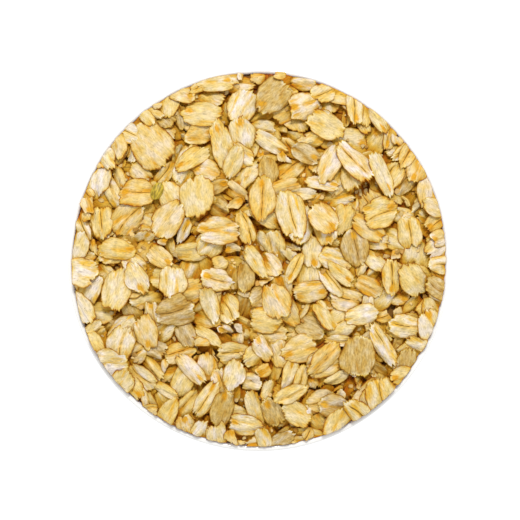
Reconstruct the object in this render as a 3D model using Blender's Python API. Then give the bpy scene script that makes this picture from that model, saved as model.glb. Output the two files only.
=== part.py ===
"""A small porcelain bowl heaped with rolled oats, in metres, +Z up.

The bowl is turned from one profile. The oats are one solid: a core that fills the bowl,
with the flakes that show at the top fused on it. A settling rule lets each flake down on
the flakes below, so that they overlap like poured oats. The origin is the middle of the
circle on which the foot ring stands.
"""

import math
from dataclasses import dataclass

import bmesh
import bpy
import numpy as np

MM = 0.001

# Bowl: its mouth, its height, its wall at the rim and at the bottom, and its foot ring
MOUTH_RADIUS = 56 * MM
BOWL_HEIGHT = 56 * MM
RIM_THICKNESS = 1.8 * MM
BASE_THICKNESS = 4.5 * MM
FULLNESS = 2.3  # exponent of the wall's curve: 2 is an ellipse, a larger one is squarer
FOOT_RADIUS = 26 * MM
FOOT_WIDTH = 3.2 * MM
FOOT_RECESS = 2.5 * MM
FOOT_ROUNDING = 0.7 * MM
SEGMENTS = 48
WALL_STEPS = 10

# Heap: its edge against the wall, its crown in the middle, and how much of it is core
EDGE_RISE = 0.5 * MM  # the oats at the wall stand this far over the rim
CROWN = 6.5 * MM
CROWN_SHAPE = 2.2
FILL_DEPTH = 10 * MM  # flakes are settled on a bed this far below the heap's top
CORE_DEPTH = 1.2 * MM  # the core lies this far below the heap's smoothed top
CORE_RINGS = 7
BUMP_WIDTH = 7 * MM  # bumps of the heap narrower than this are left to the flakes
GAP = 0.35 * MM  # between the oats and the bowl
CORE_INSET = 1.2 * MM  # between the core and the bowl at the heap's edge
SINK = 0.45 * MM  # how deep a flake is fused into what it lies on

# Flakes: how many are poured, how they lie, and how many are fused on
POURED = 1210
TOP_UP = 130
FUSED = 132
FLAKE_SIDES = 8
STEEP_SHARE = 0.11  # of the poured flakes stand on edge
STEEP_FROM, STEEP_TO = 28, 55  # degrees
GREATEST_LIE = 24  # degrees, of a flake that lies as it falls
LYING_CLEAR = 94  # per cent of a lying flake is clear of what it lies on
STEEP_CLEAR = 60  # per cent of a flake on edge: the rest of it is stuck in the heap
SEED = 11

# The large flakes that lie uppermost, each chosen by hand:
# middle to the east and north, length, width (mm), and turn (degrees, from east)
UPPERMOST = [
    (-32.0, 34.0, 15.0, 12.6, 130),
    (-17.0, 43.5, 12.6, 8.1, -10),
    (-36.5, 20.0, 11.1, 9.3, 0),
    (-18.5, 19.0, 13.2, 10.2, 95),
    (-27.0, 12.0, 12.6, 9.0, 50),
    (-11.5, 8.5, 13.2, 8.4, 0),
    (-42.5, 3.0, 12.0, 6.6, -5),
    (-11.0, 34.0, 15.6, 6.6, 103),
    (-20.0, 30.0, 11.4, 6.0, 35),
    (-7.5, 29.0, 10.5, 5.4, 70),
    (4.0, 48.5, 12.0, 9.6, 45),
    (13.5, 46.0, 10.2, 8.7, 25),
    (20.0, 40.0, 12.0, 8.7, -20),
    (21.5, 29.0, 13.2, 6.6, 62),
    (28.5, 29.0, 15.0, 7.8, -52),
    (36.5, 25.5, 14.4, 5.7, -60),
    (36.0, 14.0, 11.1, 9.3, 20),
    (9.5, 13.5, 15.0, 9.0, 103),
    (1.0, 18.0, 13.8, 7.8, 88),
    (19.0, 12.0, 10.2, 8.4, -45),
    (-42.5, -9.0, 12.6, 9.3, 75),
    (-36.5, -5.5, 9.9, 6.9, 118),
    (-25.5, -6.5, 9.3, 8.7, 90),
    (-25.0, -15.5, 12.6, 9.6, 20),
    (-12.5, -6.0, 9.9, 6.9, -15),
    (-14.5, -13.0, 11.7, 5.4, 108),
    (-41.5, -25.5, 12.0, 8.4, 75),
    (-33.5, -21.5, 11.7, 6.9, 100),
    (-20.5, -32.5, 12.6, 5.1, -45),
    (-16.0, -42.0, 13.2, 5.4, 57),
    (-11.0, -44.5, 12.0, 6.9, 77),
    (-4.0, -49.5, 10.5, 7.2, -10),
    (5.0, -12.0, 11.4, 8.7, 115),
    (39.5, -5.0, 11.4, 5.7, 92),
    (46.0, -6.0, 10.8, 8.7, -50),
    (30.5, -16.5, 9.9, 6.6, 10),
    (44.0, -20.0, 11.1, 7.2, -10),
    (29.5, -29.0, 12.6, 10.8, 90),
    (19.5, -29.5, 12.6, 6.6, 45),
    (37.0, -25.5, 15.0, 5.1, -60),
    (11.0, -46.0, 10.2, 6.9, -35),
    (9.5, -40.0, 10.8, 5.1, 25),
    (32.0, -40.0, 11.4, 5.4, 45),
    (22.5, -44.0, 9.6, 7.8, -10),
]

# What follows from the sizes above
LIP_RADIUS = RIM_THICKNESS / 2
BRIM = BOWL_HEIGHT - LIP_RADIUS  # where the wall's curve ends and its rounded lip begins
OUTER_RADIUS = MOUTH_RADIUS + RIM_THICKNESS
OUTER_DEPTH = BRIM - FOOT_RECESS
INNER_DEPTH = OUTER_DEPTH - BASE_THICKNESS
HEAP_EDGE = BOWL_HEIGHT + EDGE_RISE

# Height map of the heap over the mouth
CELL = 0.4 * MM
CELLS = 300
CELL_MIDDLES = (np.arange(CELLS) + 0.5 - CELLS / 2) * CELL
EAST, NORTH = np.meshgrid(CELL_MIDDLES, CELL_MIDDLES)
IN_MOUTH = np.hypot(EAST, NORTH) < MOUTH_RADIUS

# Points on a flake at which it is felt to touch what is below
FEELER_TURNS = np.linspace(0, 2 * math.pi, 40, endpoint=False)
FEELER_RINGS = np.linspace(0, 1, 13)


def material(name, colour, roughness):
    """A plain Principled material of a linear colour."""
    made = bpy.data.materials.new(name)
    made.use_nodes = True
    surface = made.node_tree.nodes["Principled BSDF"]
    surface.inputs["Base Color"].default_value = (*colour, 1)
    surface.inputs["Roughness"].default_value = roughness
    surface.inputs["Metallic"].default_value = 0
    return made


def wall_curve(radius, depth, start=0.0):
    """Radius and height along one side of the wall, from the bottom up to the brim."""
    curve = []
    for step in range(WALL_STEPS + 1):
        turn = start + (math.pi / 2 - start) * step / WALL_STEPS
        out = radius * math.sin(turn) ** (2 / FULLNESS)
        up = BRIM - depth * max(0.0, math.cos(turn)) ** (2 / FULLNESS)
        curve.append((out, up))
    return curve


def inner_radius(height):
    """Radius of the bowl's inside at a height, less what its flat facets take."""
    share = np.clip((BRIM - height) / INNER_DEPTH, 0, 1)
    return MOUTH_RADIUS * (1 - share**FULLNESS) ** (1 / FULLNESS) * math.cos(math.pi / SEGMENTS)


def turned(name, profile):
    """A closed solid from a profile of (radius, height) that starts and ends on the axis."""
    mesh = bmesh.new()
    points = [mesh.verts.new((out, 0, up)) for out, up in profile]
    edges = [mesh.edges.new(pair) for pair in zip(points, points[1:])]
    bmesh.ops.spin(
        mesh,
        geom=points + edges,
        axis=(0, 0, 1),
        cent=(0, 0, 0),
        steps=SEGMENTS,
        angle=2 * math.pi,
        use_merge=True,
    )
    bmesh.ops.remove_doubles(mesh, verts=mesh.verts, dist=0.01 * MM)
    bmesh.ops.recalc_face_normals(mesh, faces=mesh.faces)
    data = bpy.data.meshes.new(name)
    mesh.to_mesh(data)
    mesh.free()
    data.shade_smooth()
    data.set_sharp_from_angle(angle=math.radians(35))
    solid = bpy.data.objects.new(name, data)
    bpy.context.scene.collection.objects.link(solid)
    return solid


def foot_ring():
    """Profile of the foot ring, from the recess inside it round to where the wall leaves it."""
    inside = FOOT_RADIUS - FOOT_WIDTH
    share = (FOOT_RADIUS / OUTER_RADIUS) ** FULLNESS
    meets_wall = BRIM - OUTER_DEPTH * (1 - share) ** (1 / FULLNESS)
    return [
        (inside, FOOT_RECESS),
        (inside, FOOT_ROUNDING),
        (inside + FOOT_ROUNDING, 0),
        (FOOT_RADIUS - FOOT_ROUNDING, 0),
        (FOOT_RADIUS, FOOT_ROUNDING),
        (FOOT_RADIUS, meets_wall),
    ]


def bowl():
    """The bowl: recess, foot ring, outer wall, rounded lip and inner wall, turned in one."""
    leaves_foot = math.asin((FOOT_RADIUS / OUTER_RADIUS) ** (FULLNESS / 2))
    outer = wall_curve(OUTER_RADIUS, OUTER_DEPTH, leaves_foot)
    lip = []
    for step in range(1, 4):
        turn = math.pi * step / 4
        out = MOUTH_RADIUS + LIP_RADIUS + LIP_RADIUS * math.cos(turn)
        lip.append((out, BRIM + LIP_RADIUS * math.sin(turn)))
    inner = wall_curve(MOUTH_RADIUS, INNER_DEPTH)[::-1]
    profile = [(0, FOOT_RECESS)] + foot_ring() + outer[1:] + lip + inner
    solid = turned("bowl", profile)
    solid.data.materials.append(material("glazed white porcelain", (0.86, 0.86, 0.84), 0.15))
    return solid


@dataclass
class Flake:
    """One rolled grain: an egg-shaped plate, cupped, bowed, twisted and folded a little."""

    length: float
    width: float
    thickness: float
    taper: float
    cup: float
    bow: float
    twist: float
    fold: float
    turn: float
    slope: tuple | None = None  # set only for a flake that stands on edge

    def outline(self, turns):
        """Points round the flake's edge, in its own plane."""
        along, across = np.cos(turns), np.sin(turns)
        x = self.length / 2 * np.sign(along) * np.abs(along) ** 0.92
        y = self.width / 2 * np.sign(across) * np.abs(across) ** 0.92
        return x, y * (1 - self.taper * along)

    def in_plan(self, x, y):
        """Points of the flake turned as it lies, seen from above."""
        c, s = math.cos(self.turn), math.sin(self.turn)
        return c * x - s * y, s * x + c * y

    def warp(self, x, y):
        """How far the flake's middle surface stands off its plane."""
        u, v = x / (self.length / 2), y / (self.width / 2)
        return self.cup * v**2 + self.bow * u**2 + self.twist * u * v - self.fold * np.abs(v)

    def trimmed(self, turns, east, north):
        """The outline, drawn in where the bowl's wall is in its way."""
        x, y = self.outline(turns)
        out_x, out_y = self.in_plan(x, y)
        reach = MOUTH_RADIUS - GAP
        a = out_x**2 + out_y**2
        b = east * out_x + north * out_y
        c = east**2 + north**2 - reach**2
        share = np.minimum(1, (np.sqrt(np.maximum(b * b - a * c, 0)) - b) / a)
        return x * share, y * share


def drawn_flake(draw, kind):
    """A flake of one kind, with its own size, shape and turn."""
    if kind == "whole":
        length = np.clip(draw.normal(10.0, 1.3), 7.2, 13.0)
        width = length * draw.uniform(0.55, 0.83)
    elif kind == "narrow":
        length = draw.uniform(8.0, 12.0)
        width = length * draw.uniform(0.38, 0.54)
    else:
        length = draw.uniform(3.5, 6.5)
        width = length * draw.uniform(0.55, 0.90)
    return Flake(
        length=length * MM,
        width=width * MM,
        thickness=draw.uniform(0.55, 0.8) * MM,
        taper=draw.uniform(-0.18, 0.18),
        cup=draw.normal(-0.25, 0.35) * MM,
        bow=draw.normal(-0.25, 0.4) * MM,
        twist=draw.normal(0, 0.35) * MM,
        fold=draw.normal(0, 0.2) * MM,
        turn=draw.uniform(0, 2 * math.pi),
    )


def cells(east, north):
    """Rows and columns of the height map under these points."""
    column = np.clip((east / CELL + CELLS / 2).astype(int), 0, CELLS - 1)
    row = np.clip((north / CELL + CELLS / 2).astype(int), 0, CELLS - 1)
    return row, column


def heap_aim():
    """The height that the heap should reach, all over the mouth."""
    share = np.clip(np.hypot(EAST, NORTH) / MOUTH_RADIUS, 0, 1)
    return HEAP_EDGE + CROWN * (1 - share**CROWN_SHAPE)


def lowest_slope(needed, x, y):
    """The slopes east and north at which a plate over these heights lies lowest."""
    best = np.zeros(2)
    fan = np.tan(np.radians(np.linspace(-24, 24, 13)))
    for _ in range(3):
        east, north = np.meshgrid(best[0] + fan, best[1] + fan)
        fair = np.hypot(east, north) <= math.tan(math.radians(GREATEST_LIE))
        east, north = east[fair], north[fair]
        height = (needed - east[:, None] * x - north[:, None] * y).max(axis=1)
        chosen = height.argmin()
        best = np.array([east[chosen], north[chosen]])
        fan = fan / 5
    return best


def tilted(slope, turn):
    """Matrix of a plate's own axes on this slope: along it, across it and out of it."""
    out = np.array([-slope[0], -slope[1], 1.0])
    out /= np.linalg.norm(out)
    along = np.array([math.cos(turn), math.sin(turn), 0.0])
    along -= out * (along @ out)
    along /= np.linalg.norm(along)
    return np.stack([along, np.cross(out, along), out], axis=1)


def settle(flake, east, north, heap, owner, number):
    """Let a flake down on the heap, and note in the map which flake lies on top."""
    x, y = flake.trimmed(FEELER_TURNS, east, north)
    x = np.outer(FEELER_RINGS, x).ravel()
    y = np.outer(FEELER_RINGS, y).ravel()
    middle = flake.warp(x, y)
    half = flake.thickness / 2
    if flake.slope is None:
        plan_x, plan_y = flake.in_plan(x, y)
        needed = heap[cells(east + plan_x, north + plan_y)] - (middle - half)
        flake.slope = tuple(lowest_slope(needed, plan_x, plan_y))
    steep = math.hypot(*flake.slope) > math.tan(math.radians(STEEP_FROM - 1))
    flake.axes = tilted(flake.slope, flake.turn)
    low = flake.axes @ np.stack([x, y, middle - half])
    top = flake.axes @ np.stack([x, y, middle + half])
    needed = heap[cells(east + low[0], north + low[1])] - low[2]
    height = np.percentile(needed, STEEP_CLEAR if steep else LYING_CLEAR)
    flake.place = np.array([east, north, height])
    cover = cells(east + top[0], north + top[1])
    higher = height + top[2] > heap[cover]
    np.maximum.at(heap, cover, height + top[2])
    owner[cover[0][higher], cover[1][higher]] = number


def neediest_spot(flake, draw, heap, aim, tries):
    """Of some spots drawn evenly over the mouth, the one where the heap is lowest."""
    best = None
    for _ in range(tries):
        reach = (MOUTH_RADIUS - 1.5 * MM) * math.sqrt(draw.random())
        bearing = draw.uniform(0, 2 * math.pi)
        east, north = reach * math.cos(bearing), reach * math.sin(bearing)
        x, y = flake.trimmed(FEELER_TURNS, east, north)
        plan_x, plan_y = flake.in_plan(np.outer(FEELER_RINGS, x), np.outer(FEELER_RINGS, y))
        under = cells(east + plan_x, north + plan_y)
        need = (aim[under] - heap[under]).mean()
        if best is None or need > best[0]:
            best = (need, east, north)
    return best[1:]


def pour():
    """Pour the heap: the flakes in the order in which they fell, and the map of its top."""
    draw = np.random.default_rng(SEED)
    aim = heap_aim()
    heap = aim - FILL_DEPTH
    owner = np.full(heap.shape, -1)
    flakes = []

    def add(flake, east, north):
        settle(flake, east, north, heap, owner, len(flakes))
        flakes.append(flake)

    def pour_mixed(count, shares, tries):
        for _ in range(count):
            flake = drawn_flake(draw, draw.choice(["whole", "narrow", "broken"], p=shares))
            if draw.random() < STEEP_SHARE:
                steepness = math.tan(math.radians(draw.uniform(STEEP_FROM, STEEP_TO)))
                bearing = draw.uniform(0, 2 * math.pi)
                flake.slope = (steepness * math.cos(bearing), steepness * math.sin(bearing))
            add(flake, *neediest_spot(flake, draw, heap, aim, tries))

    pour_mixed(POURED, (0.76, 0.15, 0.09), tries=40)
    pour_mixed(TOP_UP, (0.50, 0.22, 0.28), tries=60)
    for east, north, length, width, turn in UPPERMOST:
        flake = drawn_flake(draw, "whole")
        flake.length, flake.width = length * MM, width * MM
        flake.turn = math.radians(turn)
        add(flake, east * MM, north * MM)
    return flakes, heap, owner


def smoothed(heap):
    """The heap's top without the bumps that are narrower than the chosen width."""
    reach = int(BUMP_WIDTH / CELL)
    bell = np.exp(-0.5 * (np.arange(-reach, reach + 1) / (reach / 2)) ** 2)
    total, weight = np.where(IN_MOUTH, heap, 0), IN_MOUTH.astype(float)
    for axis in (0, 1):
        total = np.apply_along_axis(np.convolve, axis, total, bell, "same")
        weight = np.apply_along_axis(np.convolve, axis, weight, bell, "same")
    return total / np.maximum(weight, 1e-6)


def core(top):
    """The bulk of the oats, clear of the bowl, with the heap's broad swells on top."""
    side = wall_curve(MOUTH_RADIUS - CORE_INSET, INNER_DEPTH - GAP)[:-1]
    shelf = BOWL_HEIGHT + CROWN
    rings = [(side[-1][0] * ring / CORE_RINGS, shelf) for ring in range(CORE_RINGS, -1, -1)]
    solid = turned("oats", side + rings)
    for corner in solid.data.vertices:
        if corner.co.z > BOWL_HEIGHT:
            under = cells(np.array(corner.co.x), np.array(corner.co.y))
            corner.co.z = top[under]
    return solid


def kept_clear(points):
    """Points of a flake, drawn back to the bowl's wall where they would cross it."""
    reach = np.hypot(points[0], points[1])
    limit = inner_radius(points[2]) - GAP
    share = np.minimum(1, limit / np.maximum(reach, CELL))
    return points * np.stack([share, share, np.ones_like(share)])


def flake_solid(flake, number):
    """A flake with few sides: two warped faces and the edge between them."""
    turns = np.linspace(0, 2 * math.pi, FLAKE_SIDES, endpoint=False)
    x, y = flake.trimmed(turns, flake.place[0], flake.place[1])
    x, y = np.append(x, 0), np.append(y, 0)
    middle, half = flake.warp(x, y), flake.thickness / 2
    faces = [np.stack([x, y, middle + half]), np.stack([x, y, middle - half])]
    points = flake.axes @ np.concatenate(faces, axis=1) + flake.place[:, None]
    crown, under = FLAKE_SIDES, 2 * FLAKE_SIDES + 1
    polygons = []
    for side in range(FLAKE_SIDES):
        following = (side + 1) % FLAKE_SIDES
        below, below_next = side + FLAKE_SIDES + 1, following + FLAKE_SIDES + 1
        polygons.append((crown, side, following))
        polygons.append((under, below_next, below))
        polygons.append((side, below, below_next, following))
    data = bpy.data.meshes.new(f"flake_{number}")
    data.from_pydata(kept_clear(points).T.tolist(), [], polygons)
    return bpy.data.objects.new(f"flake_{number}", data)


def most_shown(flakes, owner, count):
    """The flakes that show the most from above, in the order in which they fell."""
    shown = np.bincount(owner[owner >= 0], minlength=len(flakes))
    chosen = np.sort(np.argsort(-shown, kind="stable")[:count])
    return [flakes[index] for index in chosen]


def keep_largest_island(data):
    """Drop loose scraps and fill sealed hollows: only the largest shell stays."""
    mesh = bmesh.new()
    mesh.from_mesh(data)
    waiting = set(mesh.verts)
    islands = []
    while waiting:
        front = [waiting.pop()]
        island = []
        while front:
            corner = front.pop()
            island.append(corner)
            for edge in corner.link_edges:
                other = edge.other_vert(corner)
                if other in waiting:
                    waiting.remove(other)
                    front.append(other)
        islands.append(island)
    islands.sort(key=len)
    for island in islands[:-1]:
        bmesh.ops.delete(mesh, geom=island, context="VERTS")
    mesh.to_mesh(data)
    mesh.free()


def oats():
    """The oats: the core and the flakes that show, joined into one solid."""
    flakes, heap, owner = pour()
    bed = smoothed(heap) - CORE_DEPTH
    solid = core(bed)
    loose = bpy.data.collections.new("loose flakes")
    bpy.context.scene.collection.children.link(loose)
    for number, flake in enumerate(most_shown(flakes, owner, FUSED)):
        settle(flake, flake.place[0], flake.place[1], bed, owner, number)
        flake.place[2] -= SINK
        loose.objects.link(flake_solid(flake, number))
    union = solid.modifiers.new("flakes fused on", "BOOLEAN")
    union.operation = "UNION"
    union.operand_type = "COLLECTION"
    union.collection = loose
    union.solver = "EXACT"
    joined = solid.evaluated_get(bpy.context.evaluated_depsgraph_get())
    solid.data = bpy.data.meshes.new_from_object(joined)
    solid.modifiers.clear()
    for item in list(loose.objects):
        bpy.data.objects.remove(item)
    bpy.data.collections.remove(loose)
    keep_largest_island(solid.data)
    solid.data.materials.clear()
    solid.data.materials.append(material("rolled oats", (0.66, 0.43, 0.16), 0.7))
    return solid


for item in list(bpy.data.objects):
    bpy.data.objects.remove(item)
bowl()
oats()
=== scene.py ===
"""A small white porcelain bowl heaped with dry rolled oats, seen from straight above.

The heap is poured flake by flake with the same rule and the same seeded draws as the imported
solid, so that its flakes lie where the solid's do, and each flake is then modelled in full.
"""
import math
from dataclasses import dataclass

import bmesh
import bpy
import numpy as np
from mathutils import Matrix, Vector


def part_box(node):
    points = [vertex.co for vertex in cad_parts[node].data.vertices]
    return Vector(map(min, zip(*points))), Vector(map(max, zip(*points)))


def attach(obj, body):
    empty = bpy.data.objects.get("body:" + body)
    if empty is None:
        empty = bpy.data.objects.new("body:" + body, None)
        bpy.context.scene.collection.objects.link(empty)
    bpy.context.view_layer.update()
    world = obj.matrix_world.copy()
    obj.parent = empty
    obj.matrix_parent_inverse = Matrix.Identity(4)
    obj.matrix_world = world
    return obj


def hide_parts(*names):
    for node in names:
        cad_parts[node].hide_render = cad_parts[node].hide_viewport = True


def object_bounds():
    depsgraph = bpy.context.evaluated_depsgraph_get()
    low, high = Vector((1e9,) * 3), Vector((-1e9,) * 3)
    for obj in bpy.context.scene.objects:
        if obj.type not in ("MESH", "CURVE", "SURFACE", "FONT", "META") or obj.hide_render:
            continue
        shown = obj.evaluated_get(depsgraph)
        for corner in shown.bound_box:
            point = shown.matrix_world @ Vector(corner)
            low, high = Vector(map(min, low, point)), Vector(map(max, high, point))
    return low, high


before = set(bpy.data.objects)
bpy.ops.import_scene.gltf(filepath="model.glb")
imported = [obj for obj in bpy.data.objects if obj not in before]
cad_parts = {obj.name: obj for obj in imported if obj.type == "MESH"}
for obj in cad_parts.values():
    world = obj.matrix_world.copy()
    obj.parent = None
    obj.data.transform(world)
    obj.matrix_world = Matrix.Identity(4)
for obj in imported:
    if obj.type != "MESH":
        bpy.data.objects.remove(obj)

cad_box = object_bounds()

# Bowl
# One piece of white porcelain, jiggered on a plaster mould and fired under a clear glaze.
# Its wall thins to a rounded lip, and it stands on a turned foot ring, wiped free of glaze.
MM = 0.001
MOUTH_RADIUS = 56 * MM
RIM_THICKNESS = 1.8 * MM
BASE_THICKNESS = 4.5 * MM
FULLNESS = 2.3  # exponent of the wall's curve: 2 is an ellipse, a larger one is squarer
FOOT_RADIUS = 26 * MM
FOOT_WIDTH = 3.2 * MM
FOOT_RECESS = 2.5 * MM
FOOT_ROUNDING = 0.7 * MM
FOOT_FILLET = 1.2 * MM  # where the foot ring runs out into the wall
FILLET_REACH = 1.0 * MM  # of the wall that the fillet takes up
BARE_BAND = 1.3 * MM  # of the foot ring, left without glaze
BOWL_SEGMENTS = 160
WALL_STEPS = 40
RECESS_STEPS = 8

BOWL_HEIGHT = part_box("bowl")[1].z
LIP_RADIUS = RIM_THICKNESS / 2
BRIM = BOWL_HEIGHT - LIP_RADIUS
OUTER_RADIUS = MOUTH_RADIUS + RIM_THICKNESS
OUTER_DEPTH = BRIM - FOOT_RECESS
INNER_DEPTH = OUTER_DEPTH - BASE_THICKNESS


def linear(hex_colour):
    """An sRGB hex colour as linear red, green, blue and full alpha."""
    shares = [int(hex_colour[place : place + 2], 16) / 255 for place in (1, 3, 5)]
    return tuple(s / 12.92 if s < 0.04045 else ((s + 0.055) / 1.055) ** 2.4 for s in shares) + (1,)


def add_node(tree, kind, settings, links=None):
    """Adds a shader node, with its settings and with links into its inputs."""
    node = tree.nodes.new(kind)
    for name, value in settings.items():
        if isinstance(name, int) or name in node.inputs:
            node.inputs[name].default_value = value
        else:
            setattr(node, name, value)
    for name, source in (links or {}).items():
        tree.links.new(source, node.inputs[name])
    return node


def new_material(name):
    """An empty material with its node tree and its output."""
    material = bpy.data.materials.new(name)
    material.use_nodes = True
    tree = material.node_tree
    tree.nodes.clear()
    return material, tree, add_node(tree, "ShaderNodeOutputMaterial", {})


def wall_curve(radius, depth, start=0.0, steps=WALL_STEPS):
    """Radius and height along one side of the wall, from the bottom up to the brim."""
    curve = []
    for step in range(steps + 1):
        turn = start + (math.pi / 2 - start) * step / steps
        out = radius * math.sin(turn) ** (2 / FULLNESS)
        up = BRIM - depth * max(0.0, math.cos(turn)) ** (2 / FULLNESS)
        curve.append((out, up))
    return curve


def quarter(middle, radius, start, steps=6):
    """Points on a quarter circle, from an angle in quarter turns onwards."""
    turns = [(start + step / steps) * math.pi / 2 for step in range(steps + 1)]
    return [(middle[0] + radius * math.cos(t), middle[1] + radius * math.sin(t)) for t in turns]


def turned(name, profile, segments):
    """A closed, smooth solid from a profile of (radius, height) with both ends on the axis."""
    mesh = bmesh.new()
    points = [mesh.verts.new((out, 0, up)) for out, up in profile]
    edges = [mesh.edges.new(pair) for pair in zip(points, points[1:])]
    bmesh.ops.spin(
        mesh,
        geom=points + edges,
        axis=(0, 0, 1),
        cent=(0, 0, 0),
        steps=segments,
        angle=2 * math.pi,
        use_merge=True,
    )
    bmesh.ops.remove_doubles(mesh, verts=mesh.verts, dist=0.001 * MM)
    bmesh.ops.recalc_face_normals(mesh, faces=mesh.faces)
    data = bpy.data.meshes.new(name)
    mesh.to_mesh(data)
    mesh.free()
    data.shade_smooth()
    piece = bpy.data.objects.new(name, data)
    bpy.context.scene.collection.objects.link(piece)
    return piece


def bowl_profile():
    """The bowl's outline from the middle of the recess round foot, wall and lip to the inside."""
    inside = FOOT_RADIUS - FOOT_WIDTH
    share = (FOOT_RADIUS / OUTER_RADIUS) ** FULLNESS
    meets_wall = BRIM - OUTER_DEPTH * (1 - share) ** (1 / FULLNESS)
    leaves_foot = math.asin((FOOT_RADIUS / OUTER_RADIUS) ** (FULLNESS / 2))
    r = FOOT_ROUNDING
    recess = [(inside * step / RECESS_STEPS, FOOT_RECESS) for step in range(RECESS_STEPS)]
    recess += quarter((inside - r, FOOT_RECESS - r), r, 1)[::-1][:-1]
    foot = quarter((inside + r, r), r, 2) + quarter((FOOT_RADIUS - r, r), r, 3)
    foot.append((FOOT_RADIUS, meets_wall - FOOT_FILLET))
    foot.append((FOOT_RADIUS + FOOT_FILLET / 4, meets_wall - FOOT_FILLET / 4))
    wall = wall_curve(OUTER_RADIUS, OUTER_DEPTH, leaves_foot)
    outer = [point for point in wall if point[0] > FOOT_RADIUS + FILLET_REACH]
    lip_middle = (MOUTH_RADIUS + LIP_RADIUS, BRIM)
    lip = quarter(lip_middle, LIP_RADIUS, 0)[1:] + quarter(lip_middle, LIP_RADIUS, 1)[1:-1]
    inner = wall_curve(MOUTH_RADIUS, INNER_DEPTH)[::-1]
    return recess + foot + outer + lip + inner


def glazed_porcelain():
    """White porcelain under a clear glaze: a bright, faintly warm white with a wet shine.

    The glaze lies in long soft swells, and the wiped foot is bare, matt and a little creamier.
    """
    swell_size = 14  # mm, from one soft swell of the glaze to the next
    grain_size = 0.12  # mm, of the bare body
    glaze_edge = 0.25 * MM  # over which the glaze thins out above the bare band
    material, tree, output = new_material("porcelain, white, clear glaze")
    place = add_node(tree, "ShaderNodeNewGeometry", {}).outputs["Position"]
    height = add_node(tree, "ShaderNodeSeparateXYZ", {}, {0: place}).outputs["Z"]
    limits = {"From Min": BARE_BAND, "From Max": BARE_BAND + glaze_edge}
    glazed = add_node(tree, "ShaderNodeMapRange", limits, {"Value": height}).outputs[0]
    swelling = {"Scale": 1 / (swell_size * MM), "Detail": 2.0}
    swells = add_node(tree, "ShaderNodeTexNoise", swelling, {"Vector": place}).outputs[0]
    graining = {"Scale": 1 / (grain_size * MM), "Detail": 2.0}
    grains = add_node(tree, "ShaderNodeTexNoise", graining, {"Vector": place}).outputs[0]
    white = {"data_type": "RGBA", 6: linear("#E9E8E4"), 7: linear("#EEEDEA")}
    glaze_white = add_node(tree, "ShaderNodeMix", white, {0: swells}).outputs[2]
    biscuit = {"data_type": "RGBA", 6: linear("#DDD5C6")}
    colour = add_node(tree, "ShaderNodeMix", biscuit, {0: glazed, 7: glaze_white}).outputs[2]
    matt_to_gloss = {"To Min": 0.62, "To Max": 0.13}
    roughness = add_node(tree, "ShaderNodeMapRange", matt_to_gloss, {"Value": glazed}).outputs[0]
    bare = add_node(tree, "ShaderNodeMath", {"operation": "SUBTRACT", 0: 1.0}, {1: glazed}).outputs[0]
    times = {"operation": "MULTIPLY"}
    tooth = add_node(tree, "ShaderNodeMath", times, {0: grains, 1: bare}).outputs[0]
    biting = {"Strength": 0.5, "Distance": 0.03 * MM}
    bump = add_node(tree, "ShaderNodeBump", biting, {"Height": tooth}).outputs[0]
    soft = {"Strength": 0.35, "Distance": 0.25 * MM}
    bump = add_node(tree, "ShaderNodeBump", soft, {"Height": swells, "Normal": bump}).outputs[0]
    body = {"IOR": 1.5, "Metallic": 0.0}
    wires = {"Base Color": colour, "Roughness": roughness, "Normal": bump}
    surface = add_node(tree, "ShaderNodeBsdfPrincipled", body, wires)
    tree.links.new(surface.outputs[0], output.inputs["Surface"])
    return material


bowl = turned("bowl_porcelain", bowl_profile(), BOWL_SEGMENTS)
bowl.data.materials.append(glazed_porcelain())
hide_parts("bowl")
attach(bowl, "root")

# Heap
# Loose flakes poured into the bowl. Each one slides and tips until it lies as low as it can on
# the flakes below, so that they overlap like shingles, with a few caught on edge between them.
EDGE_RISE = 0.5 * MM  # the oats at the wall stand this far over the rim
CROWN = 6.5 * MM
CROWN_SHAPE = 2.2
FILL_DEPTH = 10 * MM
GAP = 0.35 * MM
POURED = 1210
TOP_UP = 130
STEEP_SHARE = 0.11  # of the poured flakes stand on edge
STEEP_FROM, STEEP_TO = 28, 55  # degrees
GREATEST_LIE = 24  # degrees, of a flake that lies as it falls
LYING_CLEAR = 94  # per cent of a lying flake is clear of what it lies on
STEEP_CLEAR = 60  # per cent of a flake on edge: the rest of it is stuck in the heap
SEED = 11
AT_WALL = 75  # flakes laid last, in the low spots along the wall
WALL_RING = (0.6, 2.4)  # mm from the wall, to the middles of those flakes

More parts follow.
